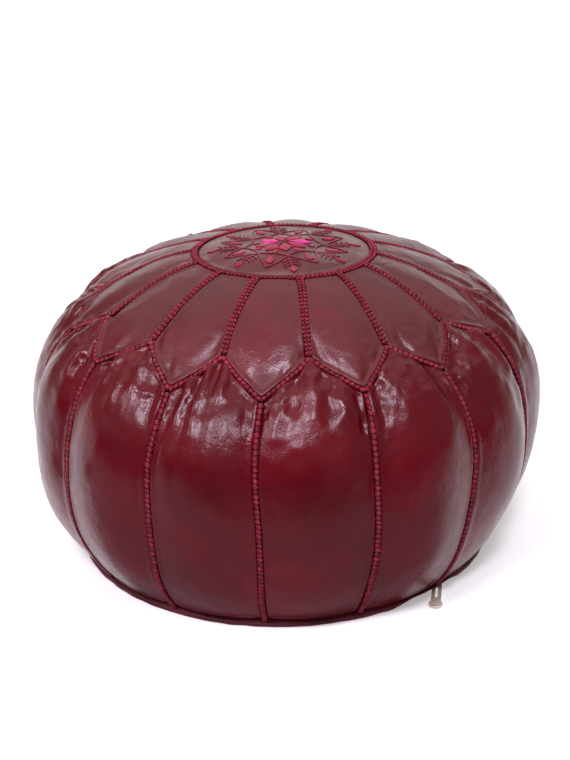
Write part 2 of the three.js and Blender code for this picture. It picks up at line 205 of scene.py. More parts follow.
def handmade(points):
    """The cover's lean and unevenness, the same for every piece on it, and none at the base."""
    up = points[..., 2:]
    fade = smooth_step(up, 12, 80)
    push = np.stack([waves(points, 6, WAVER_LENGTH, seed) for seed in (11, 12, 13)], -1)
    moved = points + push * WAVER * fade + LEAN * (up / HEIGHT) * fade
    radius = np.hypot(points[..., 0], points[..., 1])
    crown = smooth_step(points[..., 2], 150, 250)
    moved[..., 2] += (RAISE - TILT * points[..., 1]) * crown * (1 - smooth_step(radius, 95, 205))
    hump = ((points[..., :2] - HUMP["at"]) / HUMP["size"]) ** 2
    moved[..., 2] += HUMP["height"] * np.exp(-hump.sum(-1)) * crown
    return moved


# ---- meshes ----
def mesh_piece(name, parts, materials):
    """A mesh object from parts: points in millimetres, arrays of faces, and a material's index."""
    points, faces, indices, first = [], [], [], 0
    for part_points, part_faces, index in parts:
        part_points = np.asarray(part_points, float).reshape(-1, 3)
        points.append(part_points)
        for group in part_faces:
            faces += (np.asarray(group) + first).tolist()
            indices += [index] * len(group)
        first += len(part_points)
    mesh = bpy.data.meshes.new(name)
    mesh.from_pydata((np.concatenate(points) * MM).tolist(), [], faces)
    mesh.polygons.foreach_set("material_index", indices)
    mesh.shade_smooth()
    piece = bpy.data.objects.new(name, mesh)
    for material in materials:
        mesh.materials.append(material)
    bpy.context.scene.collection.objects.link(piece)
    return piece


def settle(piece, body, slot, *nodes):
    """The piece rides on its body and stands for these CAD nodes, which are hidden; slot is not used."""
    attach(piece, body)
    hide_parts(*nodes)


def cover_piece(name, parts, materials, slot, node):
    piece = mesh_piece(name, parts, materials)
    settle(piece, "cover", slot, node)
    return piece


def grid_faces(rows, columns, first=0):
    """Quads of a grid of (rows + 1) by (columns + 1) points, facing along u x v."""
    a = first + (np.arange(rows)[:, None] * (columns + 1) + np.arange(columns)[None, :]).ravel()
    return np.stack([a, a + 1, a + columns + 2, a + columns + 1], -1)


def shell(outer, inner):
    """Points and quads of a closed sheet between two grids of the same size."""
    rows, columns = outer.shape[0] - 1, outer.shape[1] - 1
    count = (rows + 1) * (columns + 1)
    index = np.arange(count).reshape(rows + 1, columns + 1)
    rim = np.concatenate([index[0, :-1], index[:-1, -1], index[-1, :0:-1], index[:0:-1, 0]])
    after = np.roll(rim, -1)
    walls = np.stack([rim, rim + count, after + count, after], -1)
    quads = [grid_faces(rows, columns), grid_faces(rows, columns, count)[:, ::-1], walls]
    return np.concatenate([outer.reshape(-1, 3), inner.reshape(-1, 3)]), quads


def loop_faces(sections, sides, closed):
    """Quads between section loops, with a cap at each end of an open run."""
    j = np.arange(sections if closed else sections - 1)[:, None] * sides
    i = np.arange(sides)[None, :]
    after, beside = (j + sides) % (sections * sides), (i + 1) % sides
    quads = np.stack([j + i, j + beside, after + beside, after + i], -1).reshape(-1, 4)
    if closed:
        return [quads]
    ends = np.arange(sides)
    return [quads, np.stack([ends[::-1], ends + (sections - 1) * sides])]


UP = (0.0, 0.0, 1.0)


def unit(vectors):
    return vectors / np.linalg.norm(vectors, axis=-1, keepdims=True)


def sweep(path, normals, section, closed=False):
    """A body along a path. Section points are (across, out). Normals are one for all or one each."""
    tangent = unit(np.roll(path, -1, 0) - np.roll(path, 1, 0) if closed else np.gradient(path, axis=0))
    across = unit(np.cross(normals, tangent))
    out = np.cross(tangent, across)
    points = path[:, None] + across[:, None] * section[:, :1] + out[:, None] * section[:, 1:]
    return points, loop_faces(len(path), len(section), closed)


def oval(width, height, sides, square=1.0):
    """Section points of an oval, or of a rounded box as square falls below 1."""
    angle = np.arange(sides) * 2 * math.pi / sides
    circle = np.stack([np.cos(angle), np.sin(angle)], -1)
    return np.sign(circle) * np.abs(circle) ** square * [width / 2, height / 2]


def turned(profile, columns, place=around):
    """A body turned from clockwise [radius, height] points, from axis to axis or round a closed loop."""
    profile = np.asarray(profile, float)
    azimuth = np.arange(columns)[:, None] / columns * 2 * math.pi
    on_axis = profile[0, 0] == 0
    body = profile[1:-1] if on_axis else profile
    rows = len(body)
    points = place(azimuth, body[None, :, 0], body[None, :, 1]).reshape(-1, 3)
    quads = loop_faces(columns, rows, True)[0]
    if not on_axis:
        return points, [quads]
    poles = place(np.zeros(2), profile[[0, -1], 0], profile[[0, -1], 1])
    quads = quads.reshape(columns, rows, 4)[:, :-1].reshape(-1, 4)
    start = np.arange(columns) * rows
    after = np.roll(start, -1)
    top = np.stack([start, after, np.full(columns, len(points))], -1)
    bottom = np.stack([after + rows - 1, start + rows - 1, np.full(columns, len(points) + 1)], -1)
    return np.concatenate([points, poles]), [quads, top, bottom]


def normals_of(grid):
    """Unit normals of a grid of points, along u x v."""
    return unit(np.cross(np.gradient(grid, axis=1), np.gradient(grid, axis=0)))


def smooth_weights(count, stations):
    """Weights of a smooth curve through count even samples, at stations from 0 to 1."""
    weights = np.zeros((len(stations), count))
    for row, station in enumerate(stations):
        x = station * (count - 1)
        i = min(int(x), count - 2)
        t = x - i
        basis = (
            -0.5 * t + t**2 - 0.5 * t**3,
            1 - 2.5 * t**2 + 1.5 * t**3,
            0.5 * t + 2 * t**2 - 1.5 * t**3,
            -0.5 * t**2 + 0.5 * t**3,
        )
        for j, w in zip(range(i - 1, i + 3), basis):
            if 0 <= j < count:
                weights[row, j] += w
            else:
                end = 0 if j < 0 else count - 1
                weights[row, end] += 2 * w
                weights[row, end + (1 if end == 0 else -1)] -= w
    return weights


def graded(count, ends=0.3):
    """Stations from 0 to 1, closer together at both ends by this factor."""
    t = np.linspace(0, 1, count + 1)
    return t - (1 - ends) * np.sin(2 * math.pi * t) / (2 * math.pi)


# ---- materials ----
class Nodes:
    """A material's node tree, with its Principled shader."""

    def __init__(self, name):
        self.material = bpy.data.materials.new(name)
        self.material.use_nodes = True
        self.tree = self.material.node_tree
        self.shader = self.tree.nodes["Principled BSDF"]

    def fill(self, node, sockets):
        """Links a node's sockets, or sets the ones that are plain values."""
        for name, value in sockets.items():
            if isinstance(value, bpy.types.NodeSocket):
                self.tree.links.new(value, node.inputs[name])
            elif value is not None:
                node.inputs[name].default_value = value
        return node

    def add(self, kind, sockets=(), **settings):
        node = self.tree.nodes.new(kind)
        for key, value in settings.items():
            setattr(node, key, value)
        return self.fill(node, dict(sockets))

    def place(self, scale=(1, 1, 1)):
        """The piece's own coordinates, in metres, stretched by scale."""
        spot = self.add("ShaderNodeTexCoord").outputs["Object"]
        return self.add("ShaderNodeMapping", {"Vector": spot, "Scale": scale}).outputs["Vector"]

    def noise(self, scale, detail=2.0, distortion=0.0, stretch=(1, 1, 1), **settings):
        sockets = {"Vector": self.place(stretch), "Scale": scale, "Detail": detail, "Distortion": distortion}
        return self.add("ShaderNodeTexNoise", sockets, **settings).outputs["Fac"]

    def between(self, value, low, high, to_low=0.0, to_high=1.0):
        sockets = {"Value": value, "From Min": low, "From Max": high, "To Min": to_low, "To Max": to_high}
        return self.add("ShaderNodeMapRange", sockets).outputs["Result"]

    def times(self, a, b):
        return self.add("ShaderNodeMath", {0: a, 1: b}, operation="MULTIPLY").outputs[0]

    def ramp(self, value, *stops):
        """Colours at positions from 0 to 1."""
        node = self.add("ShaderNodeValToRGB", {"Fac": value})
        while len(node.color_ramp.elements) < len(stops):
            node.color_ramp.elements.new(0.5)
        for element, (position, colour) in zip(node.color_ramp.elements, stops):
            element.position = position
            element.color = (*colour, 1)
        return node.outputs["Color"]

    def bump(self, height, distance, under=None):
        """Relief this deep, in millimetres, over the relief under it."""
        sockets = {"Height": height, "Distance": distance * MM, "Normal": under}
        return self.add("ShaderNodeBump", sockets).outputs["Normal"]

    def finish(self, colour=None, roughness=None, normal=None, **fixed):
        """The material, with its shader's sockets set. Others are named as specular_ior_level is."""
        sockets = {"Base Color": colour, "Roughness": roughness, "Normal": normal}
        for name, value in fixed.items():
            sockets[name.replace("_", " ").title().replace("Ior", "IOR")] = value
        self.fill(self.shader, sockets)
        return self.material


GRAIN = 0.22


def leather_material(name, deep, red, shine, gloss, crumple, crinkle, from_height=None):
    """Waxed leather: mottled dye, grain, crumples above a height, crinkles in patches, uneven polish."""
    nodes = Nodes(name)
    dye = nodes.noise(14, 5, 0.4)
    colour = nodes.ramp(dye, (0.3, deep), (0.55, red), (0.75, tuple(1.3 * c for c in red)))
    polish = nodes.between(nodes.noise(26, 4, 0.6), 0.3, 0.7, gloss, gloss + 0.14)
    folds = nodes.noise(50, 5, 0.4, (1, 1, 0.6), noise_type="RIDGED_MULTIFRACTAL")
    if from_height:
        spot = nodes.add("ShaderNodeTexCoord").outputs["Object"]
        height = nodes.add("ShaderNodeSeparateXYZ", {"Vector": spot}).outputs["Z"]
        upper = nodes.between(height, from_height * MM, (from_height + 45) * MM, 0.08, 1.0)
        folds = nodes.times(folds, upper)
    patches = nodes.between(nodes.noise(17, 2), 0.42, 0.66)
    wrinkles = nodes.times(nodes.noise(170, 4, 1.2, (1, 1, 0.6)), patches)
    normal = nodes.bump(folds, crumple)
    normal = nodes.bump(wrinkles, crinkle, normal)
    normal = nodes.bump(nodes.noise(430, 5), GRAIN, normal)
    return nodes.finish(colour, polish, normal, specular_ior_level=shine)


def thread_material(name, low, high, roughness=0.55):
    """Thread whose knots differ a little in colour."""
    nodes = Nodes(name)
    island = nodes.add("ShaderNodeNewGeometry").outputs["Random Per Island"]
    colour = nodes.ramp(island, (0.0, low), (1.0, high))
    return nodes.finish(colour, roughness, specular_ior_level=0.3)


def cloth_material(name, low, high, pitch, depth, roughness=0.9):
    """Plain-woven cotton: crossing bands a thread apart."""
    nodes = Nodes(name)
    bands = []
    for direction in ("X", "Y"):
        wave = nodes.add(
            "ShaderNodeTexWave",
            {"Vector": nodes.place(), "Scale": 0.314 / (pitch * MM), "Distortion": 0.6, "Detail": 1.0},
            bands_direction=direction,
        )
        bands.append(wave.outputs["Fac"])
    weave = nodes.times(*bands)
    colour = nodes.ramp(nodes.noise(60, 4), (0.35, low), (0.65, high))
    return nodes.finish(colour, roughness, nodes.bump(weave, depth), sheen_weight=0.2)


def metal_material(name):
    """Antique nickel: brushed, a little tarnished."""
    nodes = Nodes(name)
    tarnish = nodes.noise(160, 4, 0.3)
    colour = nodes.ramp(tarnish, (0.3, (0.55, 0.48, 0.36)), (0.6, (0.8, 0.74, 0.62)))
    roughness = nodes.between(nodes.noise(500, 3, 0, (1, 8, 1)), 0.3, 0.7, 0.22, 0.4)
    brushing = nodes.bump(nodes.noise(900, 2, 0, (1, 6, 1)), 0.03)
    return nodes.finish(colour, roughness, brushing, metallic=0.4)


def nylon_material(name):
    nodes = Nodes(name)
    colour = nodes.ramp(nodes.noise(300, 2), (0.4, (0.035, 0.003, 0.006)), (0.6, (0.055, 0.005, 0.01)))
    return nodes.finish(colour, 0.35)


OXBLOOD, DEEP_OXBLOOD = (0.072, 0.0004, 0.0035), (0.056, 0.0003, 0.0025)
WINE, DEEP_WINE = (0.085, 0.007, 0.014), (0.05, 0.003, 0.008)
side_leather = leather_material("side_leather", DEEP_OXBLOOD, OXBLOOD, 0.28, 0.2, 2.0, 0.5, 195)
crown_leather = leather_material("crown_leather", DEEP_OXBLOOD, OXBLOOD, 0.42, 0.27, 0.8, 0.4)
base_leather = leather_material("base_leather", DEEP_WINE, WINE, 0.25, 0.45, 0.4, 0.5)
braid_thread = thread_material("braid_thread", (0.1, 0.0014, 0.0085), (0.21, 0.0065, 0.024), 0.4)
braid_core = thread_material("braid_core", (0.07, 0.0006, 0.004), (0.085, 0.0006, 0.005), 0.9)
wine_silk = thread_material("wine_silk", (0.11, 0.004, 0.016), (0.16, 0.007, 0.024), 0.4)
rose_silk = thread_material("rose_silk", (0.2, 0.005, 0.03), (0.28, 0.01, 0.045), 0.35)
bright_silk = thread_material("bright_silk", (0.42, 0.012, 0.14), (0.55, 0.02, 0.2), 0.35)
lining_cotton = cloth_material("lining_cotton", (0.62, 0.56, 0.44), (0.74, 0.68, 0.56), 0.8, 0.25)
wadding_fibre = cloth_material("wadding_fibre", (0.72, 0.68, 0.6), (0.85, 0.82, 0.75), 3.0, 1.5, 1.0)
zip_tape = cloth_material("zip_tape", (0.05, 0.004, 0.009), (0.08, 0.008, 0.015), 0.7, 0.15)
zip_metal = metal_material("zip_metal")
zip_nylon = nylon_material("zip_nylon")


# ---- panels before the stuffing ----
def side_patch(k, u, v):
    """Azimuths and shares of side panel k's points."""
    azimuth = (k + u) * STEP
    return azimuth, zigzag_share(azimuth) * v


def crown_patch(k, u, v):
    azimuth = (k - 0.5 + u) * STEP
    low = zigzag_share(azimuth)
    return azimuth, low + (RING_SHARE - low) * v


def patch_grid(patch, k, rows, fullness):
    u, v = np.meshgrid(np.linspace(0, 1, SIM_COLUMNS + 1), np.linspace(0, 1, rows + 1))
    azimuth, share = patch(k, u, v)
    swell = np.sin(math.pi * u) * np.sqrt(np.sin(math.pi * v).clip(0))
    return cover_point(azimuth, share, seam_depth(share) * (swell - 1) + fullness * swell)


def side_slack(v):
    """How much larger the leather is than its place: most where it is gathered into the zigzag."""
    return 0.012 + 0.055 * np.clip((v - 0.62) / 0.38, 0, 1) ** 1.3 + 0.035 * np.clip(1 - v / 0.1, 0, 1)


def crown_slack(v):
    return 0.008 + 0.035 * np.clip(1 - v / 0.4, 0, 1) + 0.015 * np.clip((v - 0.85) / 0.15, 0, 1)


def distances(grid):
    """Each point's distance to the grid's low, high, left and right edges, in millimetres."""
    low, left = running(grid), running(grid, 1)
    return low, low[-1:] - low, left, left[:, -1:] - left


FOLDS = {"side": (1.5, 64.0), "crown": (0.8, 36.0), "widths": (18.0, 46.0)}


def folds(grid, seed, reach, depth, from_top):
    """Starting ripples that fade away from the zigzag, for the gathered leather to fold along."""
    rng = np.random.default_rng(seed)
    rows, columns = grid.shape[:2]
    widths = np.linalg.norm(grid[:, -1] - grid[:, 0], axis=-1)[:, None]
    across = np.linspace(-0.5, 0.5, columns)[None, :] * widths
    low, high = distances(grid)[:2]
    away = high if from_top else low
    total = np.zeros((rows, columns))
    for _ in range(5):
        width = rng.uniform(*FOLDS["widths"])
        wander = rng.normal(0, 2.5) * np.sin(2 * math.pi * away / rng.uniform(60, 120) + rng.uniform(0, 6))
        spread = across / (0.75 + 0.25 * smooth_step(away, 0, 90))
        length = reach * rng.uniform(0.5, 1.4)
        fade = np.exp(-((away / length) ** 2)) * smooth_step(away, -4, 10)
        total += fade * np.sin(2 * math.pi * (spread + wander) / width + rng.uniform(0, 2 * math.pi))
    crumple = waves(grid, 16, 30, seed + 50) * np.exp(-((away / (1.3 * reach)) ** 2))
    return depth * (total / math.sqrt(2.5) + 0.35 * crumple)


SIM_FRAMES = 22
MOST_SLACK = 0.09
CLOTH = {
    "quality": 5,
    "mass": 0.25,
    "tension_stiffness": 25.0,
    "compression_stiffness": 25.0,
    "shear_stiffness": 6.0,
    "bending_stiffness": 4.0,
    "air_damping": 2.0,
    "vertex_group_mass": "seams",
    "vertex_group_shrink": "growth",
    "shrink_min": 0.0,
    "shrink_max": -MOST_SLACK,
    "use_pressure": True,
    "uniform_pressure_force": 60.0,
}
FURTHEST_IN, FURTHEST_OUT = -4, 9


def stuff(grids, slacks, ripples):
    """Inflates every panel at once, held along its seams, by Blender's cloth simulation."""
    starts = np.cumsum([0] + [g.shape[0] * g.shape[1] for g in grids])
    points = np.concatenate([g.reshape(-1, 3) for g in grids])
    normals = np.concatenate([normals_of(g).reshape(-1, 3) for g in grids])
    uneven = points + normals * np.concatenate([ripple.ravel() for ripple in ripples])[:, None]
    faces = [grid_faces(g.shape[0] - 1, g.shape[1] - 1, s) for g, s in zip(grids, starts)]
    cloth_piece = mesh_piece("stuffing_run", [(uneven, faces, 0)], [])
    pins = cloth_piece.vertex_groups.new(name="seams")
    growth = cloth_piece.vertex_groups.new(name="growth")
    held = []
    for grid, start, slack in zip(grids, starts, slacks):
        index = start + np.arange(grid.shape[0] * grid.shape[1]).reshape(grid.shape[:2])
        held += [index[0], index[-1], index[:, 0], index[:, -1]]
        for row, share in zip(index, slack(np.linspace(0, 1, grid.shape[0])) / MOST_SLACK):
            growth.add(row.tolist(), float(share), "REPLACE")
    pins.add(np.unique(np.concatenate(held)).tolist(), 1.0, "REPLACE")
    cloth = cloth_piece.modifiers.new("cloth", "CLOTH")
    for key, value in CLOTH.items():
        setattr(cloth.settings, key, value)
    cloth.settings.effector_weights.gravity = 0
    cloth.collision_settings.use_collision = False
    cloth.collision_settings.use_self_collision = False
    cloth.point_cache.frame_start = 1
    cloth.point_cache.frame_end = SIM_FRAMES
    for at in range(1, SIM_FRAMES + 1):
        bpy.context.scene.frame_set(at)
    shown = cloth_piece.evaluated_get(bpy.context.evaluated_depsgraph_get())
    moved = np.empty(len(points) * 3)
    shown.data.vertices.foreach_get("co", moved)
    moved = moved.reshape(-1, 3) / MM
    bpy.data.objects.remove(cloth_piece)
    bpy.context.scene.frame_set(1)
    out = ((moved - points) * normals).sum(-1)
    moved -= normals * (out - np.clip(out, FURTHEST_IN, FURTHEST_OUT))[:, None]
    return [moved[s : s + g.shape[0] * g.shape[1]].reshape(g.shape) for g, s in zip(grids, starts)]


# ---- leather panels ----
SEAM_PLUNGE, PLUNGE_REACH = 3.0, 1.8


def rolled(distance, lift, reach):
    """The rise of a turned leather edge, this far from its seam, and its plunge into the seam."""
    rise = lift * np.exp(-(((distance - reach) / (0.7 * reach)) ** 2))
    return rise - SEAM_PLUNGE * np.exp(-((distance / PLUNGE_REACH) ** 2))


def creases(points, length, seed):
    """Sharp crossing creases between soft facets about this long, averaging zero."""
    return 0.8 - np.abs(waves(points, 10, length, seed))


def panel_piece(name, stuffed, fine_rows, material, zigzag_edge, seed):
    """A leather panel: its stuffed grid made finer, with turned edges, creases and a thickness."""
    rows, columns = stuffed.shape[:2]
    inset_u = SEAM_GAP / running(stuffed[rows // 2])[-1]
    inset_v = SEAM_GAP / running(stuffed[:, columns // 2])[-1]
    u = inset_u + (1 - 2 * inset_u) * graded(FINE_COLUMNS)
    v = inset_v + (1 - 2 * inset_v) * graded(fine_rows)
    grid = np.einsum("ra,acx,qc->rqx", smooth_weights(rows, v), stuffed, smooth_weights(columns, u))
    normal = normals_of(grid)
    edge_distances = distances(grid)
    low, high, left, right = edge_distances
    lip = 2.8 if zigzag_edge == "low" else 1.0
    edges = [rolled(low, lip, 4.2), rolled(high, 1.0, 5.0), rolled(left, 1.0, 5.0), rolled(right, 1.0, 5.0)]
    nearest = np.argmin(edge_distances, axis=0)
    lift = np.take_along_axis(np.array(edges), nearest[None], 0)[0]
    away = high if zigzag_edge == "high" else low
    crumple = 0.7 * creases(grid, 34, seed) + 0.3 * creases(grid, 17, seed + 1)
    band = 0.15 + 0.85 * np.exp(-((away / 75) ** 2))
    strength = 1.3 if zigzag_edge == "high" else 0.6
    lift += crumple * band * strength * smooth_step(np.min(edge_distances, axis=0), 2, 9)
    outer = grid + normal * lift[..., None]
    inner = outer - normal * LEATHER
    points, faces = shell(handmade(outer), handmade(inner))
    return mesh_piece(name, [(points, faces, 0)], [material])


side_grids = [patch_grid(side_patch, k, SIDE_SIM_ROWS, SIDE_FULLNESS) for k in range(PANELS)]
crown_grids = [patch_grid(crown_patch, k, CROWN_SIM_ROWS, CROWN_FULLNESS) for k in range(PANELS)]
ripples = []
for seed, some_grids, kind, from_top in ((100, side_grids, "side", True), (200, crown_grids, "crown", False)):
    depth, reach = FOLDS[kind]
    ripples += [folds(g, seed + k, reach, depth, from_top) for k, g in enumerate(some_grids)]
grids = side_grids + crown_grids
stuffed = stuff(grids, [side_slack] * PANELS + [crown_slack] * PANELS, ripples)
for k in range(PANELS):
    for kind, grid, rows, material, edge in (
        ("side", stuffed[k], SIDE_FINE_ROWS, side_leather, "high"),
        ("crown", stuffed[PANELS + k], CROWN_FINE_ROWS, crown_leather, "low"),
    ):
        piece = panel_piece(f"{kind}_leather_{k + 1:02d}", grid, rows, material, edge, 600 + 2 * k)
        settle(piece, "cover", f"{kind}_leather", f"{kind}_panel_{k + 1:02d}")


# ---- seam braids ----
def bead(width, length, height, wraps, sides=8):
    """A knot of thread: wraps side by side. Its own x is across the seam and y along it."""
    y = np.linspace(-1, 1, 4 * wraps + 1)
    full = (1 - 0.5 * np.abs(y) ** 6) * (0.77 - 0.23 * np.cos(math.pi * wraps * (y + 1)))
    ring = oval(width, height, sides, 0.8)
    points = np.stack([
        full[:, None] * -ring[None, :, 0],
        np.repeat(y[:, None] * length / 2, sides, 1),
        full[:, None] * ring[None, :, 1],
    ], -1)
    return points.reshape(-1, 3), loop_faces(len(y), sides, False)


def beads(template, path, normals, pitch, rng, turn=0.0, shift=0.0):
    """Copies of a bead along a path, each a little different."""
    points, faces = template
    run = running(path)
    count = max(round(run[-1] / pitch), 1)
    at = (np.arange(count) + 0.5) * run[-1] / count

    def along(values, shift_by=0.0):
        return np.stack([np.interp(at + shift_by, run, values[:, i]) for i in range(3)], -1)

    normal = unit(along(normals))
    tangent = unit(along(path, 0.5) - along(path, -0.5))
    across = unit(np.cross(tangent, normal))
    normal = np.cross(across, tangent)
    angle = (turn + rng.normal(0, 0.06, count))[:, None]
    size = rng.uniform(0.93, 1.07, (count, 3)) * [1, run[-1] / count / pitch, 1]
    x, y, z = np.moveaxis(points[None] * size[:, None], -1, 0)
    sideways = x * np.cos(angle) - y * np.sin(angle) + shift + rng.normal(0, 0.15, (count, 1))
    forward = x * np.sin(angle) + y * np.cos(angle)
    placed = along(path)[:, None] + across[:, None] * sideways[..., None]
    placed += tangent[:, None] * forward[..., None] + normal[:, None] * z[..., None]
    first = np.arange(count)[:, None, None] * len(points)
    return placed, [(group[None] + first).reshape(-1, group.shape[1]) for group in faces]


def seam_path(azimuths, shares, lift):
    """Points and normals over a seam, this far above its line."""
    path = cover_point(azimuths, shares, lift - seam_depth(shares))
    return path, unit(cover_point(azimuths, shares, 10.0) - cover_point(azimuths, shares, 0.0))


def stitched(azimuths, shares, seed, plait=False):
    """The parts of a braid: its knots over a dark core."""
    rng = np.random.default_rng(seed)
    path, normals = seam_path(azimuths, shares, TOUCH + BRAID_HEIGHT / 2)
    core = sweep(path - normals * 0.9, normals, oval(4.6, 2.4, 8))
    if plait:
        lobe = bead(4.6, 2.7, 3.0, 2)
        rows = [beads(lobe, path, normals, PLAIT_PITCH, rng, -0.5 * side, 1.75 * side) for side in (1, -1)]
    else:
        rows = [beads(bead(6.4, 4.9, 3.9, 3), path, normals, STITCH_PITCH, rng, 0.35)]
    parts = [(*core, 1)] + [(*row, 0) for row in rows]
    return [(handmade(np.asarray(points)), faces, index) for points, faces, index in parts]


CLEAR = 3.0 / PROFILE_LENGTH
BRAID = [braid_thread, braid_core]
for k in range(PANELS):
    shares = np.linspace(0.5 * CLEAR, VALLEY_SHARE - CLEAR, 160)
    parts = stitched(np.full(160, k * STEP), shares, 300 + k)
    cover_piece(f"side_stitches_{k + 1:02d}", parts, BRAID, "braid_thread", f"side_braid_{k + 1:02d}")

zigzag_parts = []
for k in range(2 * PANELS):
    azimuths = np.linspace(k, k + 1, 40) * STEP / 2
    zigzag_parts += stitched(azimuths, zigzag_share(azimuths), 400 + k)
cover_piece("zigzag_stitches", zigzag_parts, BRAID, "braid_thread", "zigzag_braid")

crown_parts = []
for k in range(PANELS):
    shares = np.linspace(PEAK_SHARE + CLEAR, RING_SHARE - CLEAR, 80)
    crown_parts += stitched(np.full(80, (k + 0.5) * STEP), shares, 500 + k, plait=True)
ring_azimuths = np.linspace(0, 2 * math.pi, 337)
crown_parts += stitched(ring_azimuths, np.full(337, RING_SHARE), 520, plait=True)
cover_piece("crown_stitches", crown_parts, BRAID, "braid_thread", "crown_braid")


# ---- medallion ----
def medallion_point(radius):
    """Radius and height of the medallion's face."""
    share = share_at_radius(radius)
    out = (1 - share) / (1 - RING_SHARE)
    return profile_point(share, -seam_depth(RING_SHARE) * out * out)


def medallion_place(azimuth, r, z):
    """The medallion's leather has soft folds of its own, away from its seam."""
    points = around(azimuth, r, z)
    slack = waves(points[..., :2] * [1, 0.6], 7, 48, 71) * smooth_step(RING_RADIUS - r, 3, 28)
    return handmade(points + [0, 0, 0.9] * slack[..., None])


MEDALLION_EDGE = RING_RADIUS - 0.8
radii = MEDALLION_EDGE * np.sin(np.linspace(0, 1, 46) * math.pi / 2)
face_r, face_z = medallion_point(radii)
face_z = face_z + rolled(MEDALLION_EDGE - radii, 0.8, 5.0)
face = np.stack([face_r, face_z], -1)
face[0, 0] = 0
back = face[::-1] - [0, LEATHER]
body = turned(np.concatenate([face, back]), 168, medallion_place)
cover_piece("medallion_leather", [(*body, 0)], [crown_leather], "crown_leather", "medallion")

# ---- embroidery ----
STAR = {"points": 8, "turn": math.radians(11), "tip": 68.0, "waist": 0.5, "curve": 2.3}
star_tips = STAR["turn"] + (np.arange(STAR["points"]) + 0.5) * 2 * math.pi / STAR["points"]
sprig_ways = STAR["turn"] + np.arange(STAR["points"]) * 2 * math.pi / STAR["points"]


def on_medallion(azimuth, radius, lift):
    r, z = medallion_point(np.asarray(radius, float))
    return medallion_place(azimuth, r, z + lift)


def thread(azimuth, radius, width, lift, index):
    """One embroidered line, as a part: a flattened thread over these azimuths and radii."""
    path = on_medallion(azimuth, radius, lift)
    return (*sweep(path, UP, oval(width, 0.8, 6)), index)


def spoke(way, radius, offset):
    """Azimuth and radius of points this far out along a direction and to its side."""
    radius, offset = np.broadcast_arrays(np.asarray(radius, float), np.asarray(offset, float))
    return way + np.arctan2(offset, radius), np.hypot(radius, offset)


def satin(way, start, end, half, index, pointed=1.0):
    """A filled leaf: threads laid side by side across it, highest along its middle."""
    parts = []
    for t in np.arange(0.5, (end - start) / 0.85) * 0.85 / (end - start):
        wide = half * (1 - np.abs(2 * t - 1) ** (1 + pointed)) + 0.3
        offset = np.linspace(-wide, wide, 5)
        radius = start + (end - start) * t + 0.25 * np.abs(offset)
        lift = 0.35 + 0.45 * (1 - (offset / wide) ** 2)
        parts.append(thread(*spoke(way, radius, offset), 1.0, lift, index))
    return parts


def embroidery():
    parts = []
    tip = STAR["tip"]
    for way in star_tips:
        turn = np.linspace(0, 2, 49) * 2 * math.pi / STAR["points"]
        inward = np.abs(turn / turn[-1] * 2 - 1) ** STAR["curve"]
        parts.append(thread(way + turn, tip * (STAR["waist"] + (1 - STAR["waist"]) * inward), 2.2, 0.5, 0))
        parts += satin(way, 0.64 * tip, 0.87 * tip, 3.6, 1)
        parts += satin(way, 0.36 * tip, 0.48 * tip, 2.6, 1)
    for way in sprig_ways:
        reach = np.linspace(0.6 * tip, 0.99 * tip, 14)
        parts.append(thread(*spoke(way, reach, 0), 1.8, 0.5, 0))
        for at in (0.72, 0.8, 0.88):
            for side in (-1, 1):
                offset = side * np.linspace(0, 8.5, 6)
                parts.append(thread(*spoke(way, at * tip + 0.75 * np.abs(offset), offset), 1.7, 0.55, 0))
        parts += satin(way, 0.97 * tip, 1.17 * tip, 3.4, 1, 0.2)
    for number, way in enumerate(sprig_ways):
        shade = 2 if number in (2, 5) else 1
        parts += satin(way, 6.0, 28.0, 7.2, shade, 0.1)
        parts.append(thread(*spoke(way + STEP / 2, np.linspace(1.5, 9.0, 6), 0), 1.2, 0.6, 0))
    return parts


silks = [wine_silk, rose_silk, bright_silk]
cover_piece("medallion_stitches", embroidery(), silks, "embroidery_silk", "medallion_embroidery")


# ---- hem ----
def zip_place(azimuth, r):
    """Where a point of the hem is in the zip's own frame."""
    across = azimuth - math.pi / 2 - ZIP_TURN
    return r * np.cos(across), r * np.sin(across)


def hem_place(azimuth, r, z):
    """The hem's rim, a little wavy, pinched by its stitches and raised over the zip pull."""
    x, y = zip_place(azimuth, r)
    sweep_y = PULL["bulb_x"] * math.sin(math.radians(-PULL["yaw"])) + PULL["bulb"]
    arch = smooth_step(y, -sweep_y - 32, -sweep_y + 1) * (1 - smooth_step(y, 5, 34)) * (x > 0)
    circle = np.stack(np.broadcast_arrays(np.sin(azimuth), np.cos(azimuth)), -1)
    wavy = waves(circle, 10, 0.5, 31) * 0.5 + waves(circle, 8, 0.13, 32) * 0.35
    outward = (r - HEM_INNER) / (HEM_OUTER - HEM_INNER)
    pinch = 1 - 0.05 * (1 + np.cos(azimuth * 150)) * outward
    floor = arch * (PULL["z"] + PULL["thick"] / 2 + 0.6)
    z = floor + (z * pinch) * (HEM_HEIGHT + 0.6 * arch - floor) / HEM_HEIGHT
    return around(azimuth, r + wavy * outward, z)


HEM_SECTION = [
    (0.0, 0.3), (0.0, 5.6), (0.8, 6.6), (1.8, 6.9), (2.8, 6.4), (3.6, 5.5), (4.4, 5.2),
    (5.5, 4.6), (6.1, 3.2), (6.2, 1.8), (5.7, 0.5), (4.6, 0.0), (3.0, 0.25), (1.6, 0.0), (0.5, 0.0),
]
hem_body = turned([(HEM_INNER + out, up) for out, up in HEM_SECTION], 1440, hem_place)
cover_piece("hem_flange", [(*hem_body, 0)], [base_leather], "base_leather", "hem_welt")


# ---- base ----
ZIP_END = (187, 196)


